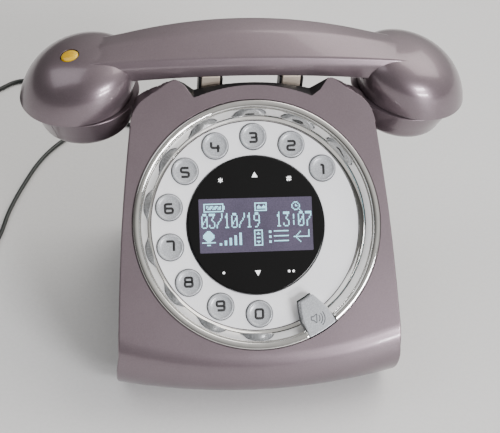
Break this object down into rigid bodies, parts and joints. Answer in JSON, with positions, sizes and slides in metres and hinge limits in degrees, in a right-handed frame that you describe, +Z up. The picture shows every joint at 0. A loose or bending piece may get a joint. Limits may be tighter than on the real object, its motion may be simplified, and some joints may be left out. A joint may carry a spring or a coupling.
{
  "type": "cordless desk telephone",
  "caption": "Retro-style desk telephone: sloped hollow base with dial-ring keypad and display, lift-off handset, charging posts and two cords.",
  "frame": {"origin": "on the table under the middle of the telephone, cords left out", "axes": "+Z up, +X to the viewer's right along the handset, +Y to the back; the dial faces -Y and up"},
  "size_m": [0.347, 0.2751, 0.1437],
  "materials": {
    "mauve_paint": "satin metallic lacquer over moulded plastic",
    "black_plastic": "fine matt moulding",
    "black_rubber": "matt",
    "chrome": "bright plated",
    "pearl_paint": "pearl lacquer",
    "silver_key": "silver translucent",
    "black_gloss": "polished black window",
    "lcd": "lit lilac-grey display",
    "amber": "glossy translucent amber",
    "circuit_board": "green solder resist",
    "steel": "plain",
    "copper_contact": "satin copper alloy",
    "grey_silicone": "matt",
    "cell_wrap": "shrink sleeve",
    "dark_cord": "satin jacket",
    "clear_plug": "clear moulding"
  },
  "bodies": {
    "base": {"base_housing": "mauve_paint", "floor_plate": "black_plastic", "charge_post_left": "black_plastic", "charge_post_right": "black_plastic", "ringer_speaker": "black_plastic", "mains_socket": "black_plastic", "line_socket": "black_plastic", "mains_plug": "black_plastic", "mains_adapter": "black_plastic", "foot_1": "black_rubber", "foot_2": "black_rubber", "foot_3": "black_rubber", "foot_4": "black_rubber", "dial_ring": "chrome", "dial_plate": "pearl_paint", "display_glass": "black_gloss", "display_module": "lcd", "main_board": "circuit_board", "ballast_plate": "steel", "floor_screw_1": "steel", "floor_screw_2": "steel", "key_membrane": "grey_silicone", "mains_cord": "dark_cord", "mains_coil": "dark_cord", "line_cord": "dark_cord", "line_coil": "dark_cord", "line_plug": "clear_plug", "wall_line_plug": "clear_plug"},
    "handset": {"handset_shell": "mauve_paint", "cup_left": "mauve_paint", "cup_right": "mauve_paint", "ear_cap": "black_plastic", "mouth_cap": "black_plastic", "earpiece": "steel", "microphone": "steel", "grip_cover": "mauve_paint", "charge_pad_left": "copper_contact", "charge_pad_right": "copper_contact", "battery_pack": "cell_wrap", "handset_board": "circuit_board"},
    "key_0_body": {"key_0": "silver_key"},
    "key_1_body": {"key_1": "silver_key"},
    "key_2_body": {"key_2": "silver_key"},
    "key_3_body": {"key_3": "silver_key"},
    "key_4_body": {"key_4": "silver_key"},
    "key_5_body": {"key_5": "silver_key"},
    "key_6_body": {"key_6": "silver_key"},
    "key_7_body": {"key_7": "silver_key"},
    "key_8_body": {"key_8": "silver_key"},
    "key_9_body": {"key_9": "silver_key"},
    "speaker_key_body": {"speaker_key": "silver_key"},
    "page_key_body": {"page_key": "black_plastic"},
    "talk_key_body": {"talk_key": "amber"},
    "volume_key_body": {"volume_key": "silver_key"},
    "mute_key_body": {"mute_key": "silver_key"},
    "charge_contact_left_body": {"charge_contact_left": "copper_contact"},
    "charge_contact_right_body": {"charge_contact_right": "copper_contact"},
    "battery_door_body": {"battery_door": "black_plastic"}
  },
  "joints": [
    {"name": "handset_lift", "type": "slide", "parent": "base", "child": "handset", "axis": [0, 0, 1], "range_m": [0, 0.12]},
    {"name": "key_0_press", "type": "slide", "parent": "base", "child": "key_0_body", "axis": [0, 0.6947, -0.7193], "range_m": [0, 0.0004], "stiffness_N_per_m": 500},
    {"name": "key_1_press", "type": "slide", "parent": "base", "child": "key_1_body", "axis": [0, 0.6947, -0.7193], "range_m": [0, 0.0004], "stiffness_N_per_m": 500},
    {"name": "key_2_press", "type": "slide", "parent": "base", "child": "key_2_body", "axis": [0, 0.6947, -0.7193], "range_m": [0, 0.0004], "stiffness_N_per_m": 500},
    {"name": "key_3_press", "type": "slide", "parent": "base", "child": "key_3_body", "axis": [0, 0.6947, -0.7193], "range_m": [0, 0.0004], "stiffness_N_per_m": 500},
    {"name": "key_4_press", "type": "slide", "parent": "base", "child": "key_4_body", "axis": [0, 0.6947, -0.7193], "range_m": [0, 0.0004], "stiffness_N_per_m": 500},
    {"name": "key_5_press", "type": "slide", "parent": "base", "child": "key_5_body", "axis": [0, 0.6947, -0.7193], "range_m": [0, 0.0004], "stiffness_N_per_m": 500},
    {"name": "key_6_press", "type": "slide", "parent": "base", "child": "key_6_body", "axis": [0, 0.6947, -0.7193], "range_m": [0, 0.0004], "stiffness_N_per_m": 500},
    {"name": "key_7_press", "type": "slide", "parent": "base", "child": "key_7_body", "axis": [0, 0.6947, -0.7193], "range_m": [0, 0.0004], "stiffness_N_per_m": 500},
    {"name": "key_8_press", "type": "slide", "parent": "base", "child": "key_8_body", "axis": [0, 0.6947, -0.7193], "range_m": [0, 0.0004], "stiffness_N_per_m": 500},
    {"name": "key_9_press", "type": "slide", "parent": "base", "child": "key_9_body", "axis": [0, 0.6947, -0.7193], "range_m": [0, 0.0004], "stiffness_N_per_m": 500},
    {"name": "speaker_key_press", "type": "slide", "parent": "base", "child": "speaker_key_body", "axis": [0, 0.6947, -0.7193], "range_m": [0, 0.0004], "stiffness_N_per_m": 500},
    {"name": "page_key_press", "type": "slide", "parent": "base", "child": "page_key_body", "axis": [0, -0.9989, -0.0477], "range_m": [0, 0.0006], "stiffness_N_per_m": 500},
    {"name": "talk_key_press", "type": "slide", "parent": "handset", "child": "talk_key_body", "axis": [0.2348, 0.0445, -0.971], "range_m": [0, 0.0006], "stiffness_N_per_m": 500},
    {"name": "volume_key_press", "type": "slide", "parent": "handset", "child": "volume_key_body", "axis": [0, 0, 1], "range_m": [0, 0.0005], "stiffness_N_per_m": 500},
    {"name": "mute_key_press", "type": "slide", "parent": "handset", "child": "mute_key_body", "axis": [0, 0, 1], "range_m": [0, 0.0005], "stiffness_N_per_m": 500},
    {"name": "charge_contact_left_press", "type": "slide", "parent": "base", "child": "charge_contact_left_body", "axis": [0, 0, -1], "range_m": [0, 0.0006], "stiffness_N_per_m": 300},
    {"name": "charge_contact_right_press", "type": "slide", "parent": "base", "child": "charge_contact_right_body", "axis": [0, 0, -1], "range_m": [0, 0.0006], "stiffness_N_per_m": 300},
    {"name": "battery_door_off", "type": "slide", "parent": "handset", "child": "battery_door_body", "axis": [0, 0, -1], "range_m": [0, 0.005]}
  ]
}
